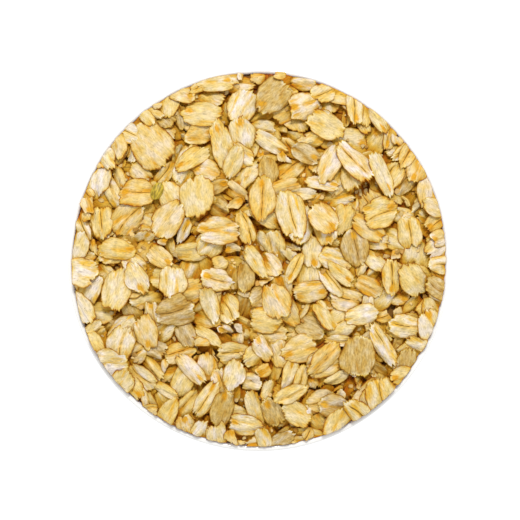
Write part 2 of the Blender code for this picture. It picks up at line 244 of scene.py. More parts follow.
# The large flakes that lie uppermost, listed one by one:
# middle to the east and north, length, width (mm), and turn (degrees, from east)
UPPERMOST = [
    (-32.0, 34.0, 15.0, 12.6, 130),
    (-17.0, 43.5, 12.6, 8.1, -10),
    (-36.5, 20.0, 11.1, 9.3, 0),
    (-18.5, 19.0, 13.2, 10.2, 95),
    (-27.0, 12.0, 12.6, 9.0, 50),
    (-11.5, 8.5, 13.2, 8.4, 0),
    (-42.5, 3.0, 12.0, 6.6, -5),
    (-11.0, 34.0, 15.6, 6.6, 103),
    (-20.0, 30.0, 11.4, 6.0, 35),
    (-7.5, 29.0, 10.5, 5.4, 70),
    (4.0, 48.5, 12.0, 9.6, 45),
    (13.5, 46.0, 10.2, 8.7, 25),
    (20.0, 40.0, 12.0, 8.7, -20),
    (21.5, 29.0, 13.2, 6.6, 62),
    (28.5, 29.0, 15.0, 7.8, -52),
    (36.5, 25.5, 14.4, 5.7, -60),
    (36.0, 14.0, 11.1, 9.3, 20),
    (9.5, 13.5, 15.0, 9.0, 103),
    (1.0, 18.0, 13.8, 7.8, 88),
    (19.0, 12.0, 10.2, 8.4, -45),
    (-42.5, -9.0, 12.6, 9.3, 75),
    (-36.5, -5.5, 9.9, 6.9, 118),
    (-25.5, -6.5, 9.3, 8.7, 90),
    (-25.0, -15.5, 12.6, 9.6, 20),
    (-12.5, -6.0, 9.9, 6.9, -15),
    (-14.5, -13.0, 11.7, 5.4, 108),
    (-41.5, -25.5, 12.0, 8.4, 75),
    (-33.5, -21.5, 11.7, 6.9, 100),
    (-20.5, -32.5, 12.6, 5.1, -45),
    (-16.0, -42.0, 13.2, 5.4, 57),
    (-11.0, -44.5, 12.0, 6.9, 77),
    (-4.0, -49.5, 10.5, 7.2, -10),
    (5.0, -12.0, 11.4, 8.7, 115),
    (39.5, -5.0, 11.4, 5.7, 92),
    (46.0, -6.0, 10.8, 8.7, -50),
    (30.5, -16.5, 9.9, 6.6, 10),
    (44.0, -20.0, 11.1, 7.2, -10),
    (29.5, -29.0, 12.6, 10.8, 90),
    (19.5, -29.5, 12.6, 6.6, 45),
    (37.0, -25.5, 15.0, 5.1, -60),
    (11.0, -46.0, 10.2, 6.9, -35),
    (9.5, -40.0, 10.8, 5.1, 25),
    (32.0, -40.0, 11.4, 5.4, 45),
    (22.5, -44.0, 9.6, 7.8, -10),
]

HEAP_EDGE = BOWL_HEIGHT + EDGE_RISE
CELL = 0.4 * MM
CELLS = 300
CELL_MIDDLES = (np.arange(CELLS) + 0.5 - CELLS / 2) * CELL
EAST, NORTH = np.meshgrid(CELL_MIDDLES, CELL_MIDDLES)
FEELER_TURNS = np.linspace(0, 2 * math.pi, 40, endpoint=False)
FEELER_RINGS = np.linspace(0, 1, 13)


@dataclass
class Flake:
    """One rolled grain: an egg-shaped plate, cupped, bowed, twisted and folded a little."""

    kind: str
    length: float
    width: float
    thickness: float
    taper: float
    cup: float
    bow: float
    twist: float
    fold: float
    turn: float
    slope: tuple | None = None  # set only for a flake that stands on edge

    def outline(self, turns):
        """Points round the flake's edge, in its own plane."""
        along, across = np.cos(turns), np.sin(turns)
        x = self.length / 2 * np.sign(along) * np.abs(along) ** 0.92
        y = self.width / 2 * np.sign(across) * np.abs(across) ** 0.92
        return x, y * (1 - self.taper * along)

    def in_plan(self, x, y):
        """Points of the flake turned as it lies, seen from above."""
        c, s = math.cos(self.turn), math.sin(self.turn)
        return c * x - s * y, s * x + c * y

    def warp(self, x, y):
        """How far the flake's middle surface stands off its plane."""
        u, v = x / (self.length / 2), y / (self.width / 2)
        return self.cup * v**2 + self.bow * u**2 + self.twist * u * v - self.fold * np.abs(v)

    def trimmed(self, x, y, east, north, gap):
        """Points round the edge, drawn in where the bowl's wall is in their way."""
        out_x, out_y = self.in_plan(x, y)
        a = out_x**2 + out_y**2
        b = east * out_x + north * out_y
        c = east**2 + north**2 - (MOUTH_RADIUS - gap) ** 2
        share = np.minimum(1, (np.sqrt(np.maximum(b * b - a * c, 0)) - b) / a)
        return x * share, y * share


def drawn_flake(draw, kind):
    """A flake of one kind, with its own size, shape and turn."""
    if kind == "whole":
        length = np.clip(draw.normal(10.0, 1.3), 7.2, 13.0)
        width = length * draw.uniform(0.55, 0.83)
    elif kind == "narrow":
        length = draw.uniform(8.0, 12.0)
        width = length * draw.uniform(0.38, 0.54)
    else:
        length = draw.uniform(3.5, 6.5)
        width = length * draw.uniform(0.55, 0.90)
    return Flake(
        kind=kind,
        length=length * MM,
        width=width * MM,
        thickness=draw.uniform(0.55, 0.8) * MM,
        taper=draw.uniform(-0.18, 0.18),
        cup=draw.normal(-0.25, 0.35) * MM,
        bow=draw.normal(-0.25, 0.4) * MM,
        twist=draw.normal(0, 0.35) * MM,
        fold=draw.normal(0, 0.2) * MM,
        turn=draw.uniform(0, 2 * math.pi),
    )


def cells(east, north):
    """Rows and columns of the height map under these points."""
    column = np.clip((east / CELL + CELLS / 2).astype(int), 0, CELLS - 1)
    row = np.clip((north / CELL + CELLS / 2).astype(int), 0, CELLS - 1)
    return row, column


def heap_aim():
    """The height that the heap should reach, all over the mouth."""
    share = np.clip(np.hypot(EAST, NORTH) / MOUTH_RADIUS, 0, 1)
    return HEAP_EDGE + CROWN * (1 - share**CROWN_SHAPE)


def lowest_slope(needed, x, y):
    """The slopes east and north at which a plate over these heights lies lowest."""
    best = np.zeros(2)
    fan = np.tan(np.radians(np.linspace(-GREATEST_LIE, GREATEST_LIE, 13)))
    for _ in range(3):
        east, north = np.meshgrid(best[0] + fan, best[1] + fan)
        fair = np.hypot(east, north) <= math.tan(math.radians(GREATEST_LIE))
        east, north = east[fair], north[fair]
        height = (needed - east[:, None] * x - north[:, None] * y).max(axis=1)
        lowest = height.argmin()
        best = np.array([east[lowest], north[lowest]])
        fan = fan / 5
    return best


def tilted(slope, turn):
    """Matrix of a plate's own axes on this slope: along it, across it and out of it."""
    out = np.array([-slope[0], -slope[1], 1.0])
    out /= np.linalg.norm(out)
    along = np.array([math.cos(turn), math.sin(turn), 0.0])
    along -= out * (along @ out)
    along /= np.linalg.norm(along)
    return np.stack([along, np.cross(out, along), out], axis=1)


def settle(flake, east, north, heap, owner, number):
    """Let a flake down on the heap, and note in the map which flake lies on top."""
    x, y = flake.trimmed(*flake.outline(FEELER_TURNS), east, north, GAP)
    x = np.outer(FEELER_RINGS, x).ravel()
    y = np.outer(FEELER_RINGS, y).ravel()
    middle = flake.warp(x, y)
    half = flake.thickness / 2
    if flake.slope is None:
        plan_x, plan_y = flake.in_plan(x, y)
        needed = heap[cells(east + plan_x, north + plan_y)] - (middle - half)
        flake.slope = tuple(lowest_slope(needed, plan_x, plan_y))
    steep = math.hypot(*flake.slope) > math.tan(math.radians(STEEP_FROM - 1))
    flake.axes = tilted(flake.slope, flake.turn)
    low = flake.axes @ np.stack([x, y, middle - half])
    top = flake.axes @ np.stack([x, y, middle + half])
    needed = heap[cells(east + low[0], north + low[1])] - low[2]
    height = np.percentile(needed, STEEP_CLEAR if steep else LYING_CLEAR)
    flake.place = np.array([east, north, height])
    cover = cells(east + top[0], north + top[1])
    higher = height + top[2] > heap[cover]
    np.maximum.at(heap, cover, height + top[2])
    owner[cover[0][higher], cover[1][higher]] = number


def spot_in_mouth(draw, margin=1.5 * MM):
    """A place drawn evenly over the mouth."""
    reach = (MOUTH_RADIUS - margin) * math.sqrt(draw.random())
    bearing = draw.uniform(0, 2 * math.pi)
    return reach * math.cos(bearing), reach * math.sin(bearing)


def spot_at_wall(draw):
    """A place drawn in a narrow ring along the wall."""
    reach = MOUTH_RADIUS - draw.uniform(*WALL_RING) * MM
    bearing = draw.uniform(0, 2 * math.pi)
    return reach * math.cos(bearing), reach * math.sin(bearing)


def neediest_spot(flake, draw, heap, aim, spot, tries):
    """Of some drawn places, the one where the heap is lowest under the flake."""
    best = None
    for _ in range(tries):
        east, north = spot(draw)
        x, y = flake.trimmed(*flake.outline(FEELER_TURNS), east, north, GAP)
        plan_x, plan_y = flake.in_plan(np.outer(FEELER_RINGS, x), np.outer(FEELER_RINGS, y))
        under = cells(east + plan_x, north + plan_y)
        need = (aim[under] - heap[under]).mean()
        if best is None or need > best[0]:
            best = (need, east, north)
    return best[1:]


def pour():
    """Pour the heap: the flakes in the order in which they fell, and the map of its top."""
    draw = np.random.default_rng(SEED)
    aim = heap_aim()
    heap = aim - FILL_DEPTH
    owner = np.full(heap.shape, -1)
    flakes = []

    def add(flake, east, north):
        settle(flake, east, north, heap, owner, len(flakes))
        flakes.append(flake)

    def pour_mixed(count, shares, tries):
        for _ in range(count):
            flake = drawn_flake(draw, draw.choice(["whole", "narrow", "broken"], p=shares))
            if draw.random() < STEEP_SHARE:
                steepness = math.tan(math.radians(draw.uniform(STEEP_FROM, STEEP_TO)))
                bearing = draw.uniform(0, 2 * math.pi)
                flake.slope = (steepness * math.cos(bearing), steepness * math.sin(bearing))
            add(flake, *neediest_spot(flake, draw, heap, aim, spot_in_mouth, tries))

    pour_mixed(POURED, (0.76, 0.15, 0.09), tries=40)
    pour_mixed(TOP_UP, (0.50, 0.22, 0.28), tries=60)
    for east, north, length, width, turn in UPPERMOST:
        flake = drawn_flake(draw, "whole")
        flake.length, flake.width = length * MM, width * MM
        flake.turn = math.radians(turn)
        add(flake, east * MM, north * MM)
    return flakes, heap, owner


def fill_to_wall(flakes, heap, owner):
    """Lay more flakes where the heap is lowest beside the wall."""
    draw = np.random.default_rng(SEED + 1)
    aim = heap_aim()
    for _ in range(AT_WALL):
        flake = drawn_flake(draw, draw.choice(["whole", "narrow", "broken"], p=(0.35, 0.30, 0.35)))
        place = neediest_spot(flake, draw, heap, aim, spot_at_wall, tries=60)
        settle(flake, *place, heap, owner, len(flakes))
        flakes.append(flake)


flakes, heap, owner = pour()
fill_to_wall(flakes, heap, owner)
shown = np.bincount(owner[owner >= 0], minlength=len(flakes)) * (CELL / MM) ** 2  # mm2 of each

# Core
# The imported oats that fill the bowl below the flakes that can be seen. Only chinks of it show,
# in shade, so it is a solid of the heap's form with a rough crust painted dark brown as shade.
CORE_DEPTH = 3.0 * MM  # below the heap's smoothed top
CORE_INSET = 0.3 * MM
CORE_RINGS = 44
CORE_SEGMENTS = 160
CORE_STEPS = 24
SWELL_WIDTH = 5 * MM


def smoothed(surface):
    """The heap's top without the bumps that are narrower than a flake."""
    in_mouth = np.hypot(EAST, NORTH) < MOUTH_RADIUS
    reach = int(SWELL_WIDTH / CELL)
    bell = np.exp(-0.5 * (np.arange(-reach, reach + 1) / (reach / 2)) ** 2)
    total, weight = np.where(in_mouth, surface, 0), in_mouth.astype(float)
    for axis in (0, 1):
        total = np.apply_along_axis(np.convolve, axis, total, bell, "same")
        weight = np.apply_along_axis(np.convolve, axis, weight, bell, "same")
    return total / np.maximum(weight, 1e-6)


def packed_oats_in_painted_shade():
    """Oats packed deep in the heap: a matt dark brown, mottled grain by grain, that is painted shade.
    """
    grain = 1.6  # mm, from one mottle to the next
    material, tree, output = new_material("packed oats, painted shade brown")
    place = add_node(tree, "ShaderNodeNewGeometry", {}).outputs["Position"]
    mottling = {"Scale": 1 / (grain * MM), "Detail": 3.0}
    mottle = add_node(tree, "ShaderNodeTexNoise", mottling, {"Vector": place}).outputs[0]
    # Painted shade: the core is a dark mottled brown because only shade reaches it
    browns = {"data_type": "RGBA", 6: linear("#5A380C"), 7: linear("#946418")}
    colour = add_node(tree, "ShaderNodeMix", browns, {0: mottle}).outputs[2]
    rough = {"Strength": 0.8, "Distance": 0.4 * MM}
    bump = add_node(tree, "ShaderNodeBump", rough, {"Height": mottle}).outputs[0]
    body = {"Roughness": 0.85, "IOR": 1.45}
    surface = add_node(tree, "ShaderNodeBsdfPrincipled", body, {"Base Color": colour, "Normal": bump})
    tree.links.new(surface.outputs[0], output.inputs["Surface"])
    return material


side = wall_curve(MOUTH_RADIUS - CORE_INSET, INNER_DEPTH - GAP, steps=CORE_STEPS)[:-1]
shelf = BOWL_HEIGHT + CROWN
rings = [(side[-1][0] * ring / CORE_RINGS, shelf) for ring in range(CORE_RINGS, -1, -1)]
core = turned("oats_core", side + rings, CORE_SEGMENTS)
core_top = smoothed(heap) - CORE_DEPTH
for corner in core.data.vertices:
    if corner.co.z > BOWL_HEIGHT:
        corner.co.z = core_top[cells(np.array(corner.co.x), np.array(corner.co.y))]
core.data.materials.append(packed_oats_in_painted_shade())
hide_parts("oats")
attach(core, "root")

# Cream flakes
# Whole oat groats, steamed soft and rolled flat, lying with the starchy side up. The pressed
# starch is pale and papery, streaked with golden bran, with a thin tan edge torn at the ends.
FLAKE_TURNS = 90
TOP_RINGS = (0.18, 0.38, 0.58, 0.75, 0.88, 1.0)
UNDER_RINGS = (0.98, 0.6)
SHARP_FROM = math.radians(50)
WALL_GAP = 0.12 * MM
OVER_LIP = 0.25 * MM  # flakes above the brim lie this far over the rounded lip
TOP_GAP = 0.02 * MM
EDGE_SWELLS = ((2, 0.03), (3, 0.03), (4, 0.025), (5, 0.02), (7, 0.015))  # waves, and their height
CREASED_SHARE = 0.36  # of the flakes show the groove of the grain
CREASE_DEPTH = 0.32 * MM
CREASE_HALF = 0.45 * MM
GERM_PLACE = 0.66  # of the way from the flake's middle to its end
FAR_OFF = 99.0  # mm, from a crease or a germ to the points of a flake that has none
CUT_SHARE = 0.3  # of the whole flakes have lost the tip of one end
PATTERN_STEP = 3.7  # mm, so that no two flakes have the same pattern
UNDER_STRIP = 0.12  # of the texture is for the under-sides of the flakes
FIRST_LOOK, FIRST_SHAPE = 5000, 1000  # seeds for the first flake

swells = smoothed(heap)


@dataclass
class Looks:
    """What sets one flake apart from the next: its side, tone, gold, crease, germ and cuts."""

    side: float
    tone: float
    gold: float
    creased: bool
    crease_off: float
    crease_bend: float
    germ: int
    cuts: list


def looks_for(number):
    """A flake's own looks, drawn for its number."""
    draw = np.random.default_rng(FIRST_LOOK + number)
    looks = Looks(
        side=draw.random(),
        tone=draw.random(),
        gold=draw.random(),
        creased=draw.random() < CREASED_SHARE,
        crease_off=draw.normal(0, 0.4) * MM,
        crease_bend=draw.normal(0, 0.6) * MM,
        germ=draw.choice([-1, 0, 1], p=[0.22, 0.56, 0.22]),
        cuts=[],
    )
    if flakes[number].kind == "broken":
        for _ in range(draw.integers(2, 5)):
            looks.cuts.append((draw.uniform(0, 2 * math.pi), draw.uniform(0.35, 0.85)))
    elif draw.random() < CUT_SHARE:
        bearing = draw.choice([0, math.pi]) + draw.normal(0, 0.25)
        looks.cuts.append((bearing, draw.uniform(0.78, 0.94)))
    return looks


looks_of = [looks_for(number) for number in range(len(flakes))]


def torn_edge(draw, turns, cuts):
    """How far the edge stands out at each turn, as a share of the flake's reach.

    The sides are smooth. The ends are crumbly, and so is each straight cut where a piece broke
    off. Most flakes are split a little way in from their ends.
    """
    edge = np.ones(len(turns))
    for waves, height in EDGE_SWELLS:
        edge += draw.normal(0, height) * np.sin(waves * turns + draw.uniform(0, 2 * math.pi))
    crumbly = np.abs(np.cos(turns)) ** 4
    for bearing, reach in cuts:
        cut = reach / np.maximum(np.cos(turns - bearing), 0.05)
        crumbly = np.where(cut < edge, 1.0, crumbly)
        edge = np.minimum(edge, cut)
    for _ in range(draw.integers(0, 4)):
        away = np.angle(np.exp(1j * (turns - draw.choice([0, math.pi]) - draw.normal(0, 0.5))))
        edge -= draw.uniform(0.03, 0.12) * np.exp(-((away / draw.uniform(0.06, 0.15)) ** 2))
    grains = draw.normal(0, 1, len(turns))
    clumps = (grains + np.roll(grains, 1) + np.roll(grains, 2)) / 2
    return edge + (0.009 + 0.044 * crumbly) * (draw.normal(0, 0.8, len(turns)) + clumps)


def relief(draw, x, y, reach):
    """The soft lumps, the lengthwise wrinkles and the wavy edge that rolling left on a flake."""
    height = np.zeros(len(x))
    for _ in range(4):
        length = draw.uniform(7.0, 20.0) * MM * draw.choice([-1, 1])
        across = draw.uniform(1.4, 4.5) * MM
        wave = 2 * math.pi * (x / length + y / across) + draw.uniform(0, 2 * math.pi)
        height += draw.uniform(0.025, 0.05) * across * np.sin(wave)
    ripples = draw.integers(7, 13) * np.arctan2(y, x) + draw.uniform(0, 2 * math.pi)
    return height + 0.06 * MM * reach**4 * np.sin(ripples)


def flake_points(number, turns, top_rings, under_rings):
    """A flake's points as it lies in the heap, and what its material reads from each point.

    lie is the place on the flake, look its reach, tone and gold, marks how far off crease, germ
    and middle are, and depths how far down the point lies, its lumps and which face it is on.
    """
    flake, looks = flakes[number], looks_of[number]
    draw = np.random.default_rng(FIRST_SHAPE + number)
    edge = torn_edge(draw, turns, looks.cuts)
    edge_x, edge_y = flake.outline(turns)
    edge_x, edge_y = flake.trimmed(edge_x * edge, edge_y * edge, *flake.place[:2], -OVER_LIP)
    rings = np.concatenate([top_rings, under_rings])
    x = np.concatenate([[0], np.outer(rings, edge_x).ravel(), [0]])
    y = np.concatenate([[0], np.outer(rings, edge_y).ravel(), [0]])
    reach = np.concatenate([[0], np.repeat(rings, len(turns)), [0]])
    face = np.ones(len(x))
    face[1 + len(top_rings) * len(turns) :] = -1
    half = flake.thickness / 2 * (1 - 0.5 * reach**4)
    lumps = relief(draw, x, y, reach)
    height = flake.warp(x, y) + face * half + lumps
    along = x / (flake.length / 2)
    from_crease = y - looks.crease_off - looks.crease_bend * along**2
    if looks.creased:
        fade = np.clip(1.5 - 1.5 * np.abs(along), 0, 1)
        height -= (face > 0) * CREASE_DEPTH * fade * np.exp(-((from_crease / CREASE_HALF) ** 2))
    points = flake.axes @ np.stack([x, y, height]) + flake.place[:, None]
    points[2] -= max(0.0, points[2].max() - cad_box[1].z + TOP_GAP)
    out = np.hypot(points[0], points[1])
    depth = np.clip((BRIM - points[2]) / INNER_DEPTH, 0, 1)
    up_lip = np.clip((points[2] - BRIM) / LIP_RADIUS, 0, 1)
    limit = MOUTH_RADIUS * (1 - depth**FULLNESS) ** (1 / FULLNESS) - WALL_GAP
    limit += np.minimum(LIP_RADIUS * (1 - np.sqrt(1 - up_lip**2)), OVER_LIP + WALL_GAP)
    points[:2] *= np.minimum(1, limit / np.maximum(out, CELL))
    # How far each point lies below the heap's smoothed top; the material paints shade from it
    pit = swells[cells(points[0], points[1])] - points[2]
    germ_x, germ_y = along - looks.germ * GERM_PLACE, y / (flake.width / 2) - 0.1
    from_germ = np.hypot(germ_x, germ_y) * flake.length / 2
    same = np.ones(len(x))
    crease = from_crease / MM if looks.creased else FAR_OFF * same
    germ = from_germ / MM if looks.germ else FAR_OFF * same
    read = {
        "lie": (x / MM, y / MM, number * PATTERN_STEP * same),
        "look": (reach, looks.tone * same, looks.gold * same),
        "marks": (crease, germ, np.abs(along)),
        "depths": (pit / MM, lumps / MM, face),
    }
    return points.T, {label: np.stack(values, axis=1) for label, values in read.items()}


def flake_faces(turns, top_count, under_count):
    """Corner numbers of a flake's faces: first those of the upper side, then those below."""
    around = np.arange(turns)
    following = (around + 1) % turns
    loops = [1 + ring * turns for ring in range(top_count + under_count)]
    last = 1 + (top_count + under_count) * turns
    crown = np.stack([np.zeros(turns, int), loops[0] + around, loops[0] + following], axis=1)
    base = np.stack([np.full(turns, last), loops[-1] + following, loops[-1] + around], axis=1)
    bands = [
        np.stack([inner + around, outer + around, outer + following, inner + following], axis=1)
        for inner, outer in zip(loops, loops[1:])
    ]
    return [crown, *bands[: top_count - 1]], [*bands[top_count - 1 :], base]


def bake_places(count, turns, rings, columns, bottom, top):
    """Places on a texture for some flakes, each laid out as a round in a cell of its own."""
    rows = math.ceil(count / columns)
    cell = np.array([1 / columns, (top - bottom) / rows])
    round_x = np.concatenate([[0], np.outer(rings, np.cos(turns)).ravel(), [0]])
    round_y = np.concatenate([[0], np.outer(rings, np.sin(turns)).ravel(), [0]])
    rounds = np.stack([round_x, round_y], axis=1) * 0.47 + 0.5
    corners = [(index % columns, index // columns) for index in range(count)]
    return [(rounds + corner) * cell + (0, bottom) for corner in corners]


def flake_piece(name, numbers, material, turn_count=FLAKE_TURNS, top=TOP_RINGS, below=UNDER_RINGS):
    """One piece of many flakes, with what their material reads from each point."""
    turns = np.linspace(0, 2 * math.pi, turn_count, endpoint=False)
    rings = np.concatenate([top, below])
    upper, under = flake_faces(turn_count, len(top), len(below))
    count = len(numbers)
    columns = math.ceil(math.sqrt(count))
    upper_places = bake_places(count, turns, rings, columns, UNDER_STRIP, 1.0)
    under_places = bake_places(count, turns, rings, columns * 4, 0.0, UNDER_STRIP)
    points, read, faces, places, first = [], [], [], [], 0
    for index, number in enumerate(numbers):
        own_points, own_read = flake_points(number, turns, top, below)
        points.append(own_points)
        read.append(own_read)
        for side, on_texture in ((upper, upper_places[index]), (under, under_places[index])):
            for band in side:
                faces += (band + first).tolist()
                places.append(on_texture[band.ravel()])
        first += len(own_points)
    data = bpy.data.meshes.new(name)
    data.from_pydata(np.concatenate(points).tolist(), [], faces)
    for label in read[0]:
        layer = data.attributes.new(label, "FLOAT_VECTOR", "POINT")
        values = np.concatenate([own[label] for own in read])
        layer.data.foreach_set("vector", values.astype(np.float32).ravel())
    texture_places = data.uv_layers.new(name="OFBake")
    texture_places.data.foreach_set("uv", np.concatenate(places).astype(np.float32).ravel())
    data.shade_smooth()
    data.set_sharp_from_angle(angle=SHARP_FROM)
    data.materials.append(material)
    piece = bpy.data.objects.new(name, data)
    bpy.context.scene.collection.objects.link(piece)
    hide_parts("oats")
    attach(piece, "root")


def rolled_oat(name, flesh, shade, streak, rim, slit_shade, stripes=0.0):
    """A steamed and rolled groat: matt pressed starch, papery with fine wrinkles along it.

    The bran lies on it in soft golden streaks, in a band down the crease and along the edge, and
    the germ is a deep yellow patch near one end. Painted shade browns the flakes deep in the heap,
    their under sides and their edges, and darkens the open slit of the crease.
    """
    material, tree, output = new_material(name)
    # What is stored at each point of the flake
    lie = add_node(tree, "ShaderNodeAttribute", {"attribute_name": "lie"}).outputs["Vector"]
    read = {}
    for label, parts in (
        ("look", ("reach", "tone", "gold")),
        ("marks", ("from crease", "from germ", "along")),
        ("depths", ("pit", "lump", "face")),
    ):
        three = add_node(tree, "ShaderNodeAttribute", {"attribute_name": label}).outputs["Vector"]
        read.update(zip(parts, add_node(tree, "ShaderNodeSeparateXYZ", {}, {0: three}).outputs))

    # Patterns on the flake: the length and width of their grains (mm), detail and roughness
    for label, length, width, detail, roughness in (
        ("wash", 4.0, 2.2, 2.0, 0.55),
        ("broad", 6.0, 1.5, 2.0, 0.55),
        ("fine", 1.7, 0.5, 3.0, 0.6),
        ("mottle", 0.8, 0.7, 3.0, 0.55),
        ("fibre", 1.3, 0.27, 2.0, 0.55),
        ("flour", 3.4, 1.1, 2.0, 0.55),
        ("speck", 0.5, 0.45, 0.0, 0.55),
        ("cloud", 3.8, 2.4, 1.0, 0.55),
        ("patchy", 3.0, 3.0, 1.0, 0.55),
    ):
        sizes = {"operation": "MULTIPLY", 1: (1 / length, 1 / width, 1.0)}
        stretched = add_node(tree, "ShaderNodeVectorMath", sizes, {0: lie}).outputs[0]
        settings = {"Scale": 1.0, "Detail": detail, "Roughness": roughness}
        read[label] = add_node(tree, "ShaderNodeTexNoise", settings, {0: stretched}).outputs[0]

    # What each value gives: the limits that it is read between, and what it gives at each of them
    for label, source, low, high, at_low, at_high in (
        ("shaded", "wash", 0.40, 0.70, 0.0, 1.0),
        ("gold of the flake", "gold", 0.0, 1.0, 0.0, 0.18),
        ("gold at the ends", "along", 0.3, 1.0, 0.0, 0.12),
        ("gold in hollows", "lump", 0.15, -0.25, -0.10, 0.14),
        ("broken gold", "mottle", 0.25, 0.6, 0.75, 1.0),
        ("flour on lumps", "lump", -0.1, 0.3, -0.08, 0.12),
        ("crease wanders", "broad", 0.0, 1.0, -0.5, 0.5),
        ("part way", "along", 0.9, 0.6, 0.0, 1.0),
        ("slit open", "wash", 0.40, 0.52, 0.0, 1.0),
        ("germ wanders", "fine", 0.2, 0.8, -0.7, 0.7),
        ("edge wanders", "mottle", 0.2, 0.8, -0.06, 0.06),
        ("rim in places", "wash", 0.40, 0.60, 0.35, 0.85),
        ("at ends", "along", 0.62, 0.85, 0.0, 0.85),
        ("torn in places", "wash", 0.58, 0.46, 0.0, 1.0),
        # Painted shade: flakes that lie deep below the heap's smoothed top are browned, as if shaded
        ("painted shade deep down", "pit", 0.3, 2.6, 0.0, 4.0),
        ("dark flake", "tone", 0.0, 1.0, 0.5, -0.05),
        ("clouded", "cloud", 0.36, 0.64, -0.10, 0.35),
        # Painted shade: toward their edges, in patches, the flakes are browned as if their rounded
        # edges were in shade
        ("toward the edge", "reach", 0.76, 1.0, 0.0, 0.9),
        ("edge shade in places", "patchy", 0.38, 0.62, 0.0, 1.0),
        # Painted shade: the under sides of the flakes are browned, as if in shade
        ("painted shade underneath", "face", 0.9, -0.3, 0.0, 1.7),
        # Painted shade: a dark line at the very edge of each flake, as if shade lay under it
        ("painted shade at the edge", "reach", 0.95, 1.0, 0.0, 1.8),
        ("fine grain", "fine", 0.3, 0.6, 0.77, 0.91),
        ("mottled grain", "mottle", 0.25, 0.65, -0.12, 0.04),
        ("fibre grain", "fibre", 0.3, 0.6, -0.17, 0.04),
        ("fine relief", "fine", 0.0, 1.0, 0.0, 0.9),
        ("mottled relief", "mottle", 0.0, 1.0, 0.0, 0.65),
        ("fibre relief", "fibre", 0.0, 1.0, 0.0, 0.5),
    ):
        limits = {1: low, 2: high, 3: at_low, 4: at_high}
        read[label] = add_node(tree, "ShaderNodeMapRange", limits, {0: read[source]}).outputs[0]

    # Values made of several others, added or multiplied one by one
    for label, operation, first, *others in (
        ("golden", "ADD", "broad", "gold of the flake", "gold at the ends", "gold in hollows"),
        ("floury", "ADD", "flour", "flour on lumps"),
        ("off crease", "ADD", "from crease", "crease wanders"),
        ("off germ", "ADD", "from germ", "germ wanders"),
        ("edge", "ADD", "reach", "edge wanders"),
        ("painted edge shade", "MULTIPLY", "toward the edge", "edge shade in places"),
        ("browning and painted shade", "ADD", "painted shade deep down", "dark flake", "clouded", "painted edge shade", "painted shade underneath", "painted shade at the edge"),
        ("grain", "ADD", "fine grain", "mottled grain", "fibre grain"),
        ("height", "ADD", "fine relief", "mottled relief", "fibre relief"),
    ):
        total = read[first]
        for other in others:
            wires = {0: total, 1: read[other]}
            total = add_node(tree, "ShaderNodeMath", {"operation": operation}, wires).outputs[0]
        read[label] = total
    beside = add_node(tree, "ShaderNodeMath", {"operation": "ABSOLUTE"}, {0: read["off crease"]})
    read["beside crease"] = beside.outputs[0]

    # Colours laid one over another: where each begins, where it is full, how full, and the values
    # that hold it back
    starch = {"data_type": "RGBA", 6: linear(flesh), 7: linear(shade)}
    colour = add_node(tree, "ShaderNodeMix", starch, {0: read["shaded"]}).outputs[2]
    for paint, source, begins, full, most, *held_by in (
        (streak, "golden", 0.68, 0.88, 1.0, "broken gold"),
        ("#FAF0DA", "floury", 0.48, 0.74, 0.30),
        (streak, "beside crease", 0.85, 0.20, 0.75, "part way"),
        # Painted shade: a dark line down the open slit of the crease
        (slit_shade, "beside crease", 0.20, 0.06, 0.80, "part way", "slit open"),
        ("#EAB022", "off germ", 1.8, 0.9, 0.95),
        ("#A28044", "fine", 0.45, 0.62, stripes),
        (rim, "edge", 0.90, 0.98, 1.0, "rim in places"),
        ("#FBF3E0", "edge", 0.80, 0.94, 1.0, "at ends", "torn in places"),
        ("#6A4620", "speck", 0.82, 0.86, 0.7),
    ):
        limits = {1: begins, 2: full, 3: 0.0, 4: most}
        share = add_node(tree, "ShaderNodeMapRange", limits, {0: read[source]}).outputs[0]
        for label in held_by:
            wires = {0: share, 1: read[label]}
            share = add_node(tree, "ShaderNodeMath", {"operation": "MULTIPLY"}, wires).outputs[0]
        laid = {"data_type": "RGBA", 7: linear(paint)}
        colour = add_node(tree, "ShaderNodeMix", laid, {0: share, 6: colour}).outputs[2]

    # Browned by own tone, clouds and painted shade (deep down, underneath, at edges); grained, wrinkled
    tint = {"Color": linear("#F2DA82")}
    shade_and_browning_tint = add_node(tree, "ShaderNodeGamma", tint, {"Gamma": read["browning and painted shade"]}).outputs[0]
    browned_and_shaded = {"data_type": "RGBA", "blend_type": "MULTIPLY", 0: 1.0}
    colour = add_node(tree, "ShaderNodeMix", browned_and_shaded, {6: colour, 7: shade_and_browning_tint}).outputs[2]
    wires = {"Color": colour, "Value": read["grain"]}
    colour = add_node(tree, "ShaderNodeHueSaturation", {}, wires).outputs[0]
    uneven = {"Strength": 1.0, "Distance": 0.34 * MM}
    bump = add_node(tree, "ShaderNodeBump", uneven, {"Height": read["height"]}).outputs[0]
    body = {"Roughness": 0.7, "IOR": 1.45, "Specular IOR Level": 0.2}
    surface = add_node(tree, "ShaderNodeBsdfPrincipled", body, {"Base Color": colour, "Normal": bump})
    tree.links.new(surface.outputs[0], output.inputs["Surface"])
    return material


def with_side(low, high, kinds=("whole",), least=1.0):
    """Numbers of the flakes of these kinds that show, and whose side is drawn between two limits."""
    return [
        number
        for number, flake in enumerate(flakes)
        if flake.kind in kinds and shown[number] >= least and low <= looks_of[number].side < high
    ]


cream = rolled_oat("rolled oat, starchy side", "#F3E3CA", "#F1DFBA", "#EEC24A", "#A8701E", "#5E380C")
flake_piece("flakes_cream_a", with_side(0.0, 0.28), cream)
flake_piece("flakes_cream_b", with_side(0.28, 0.56), cream)

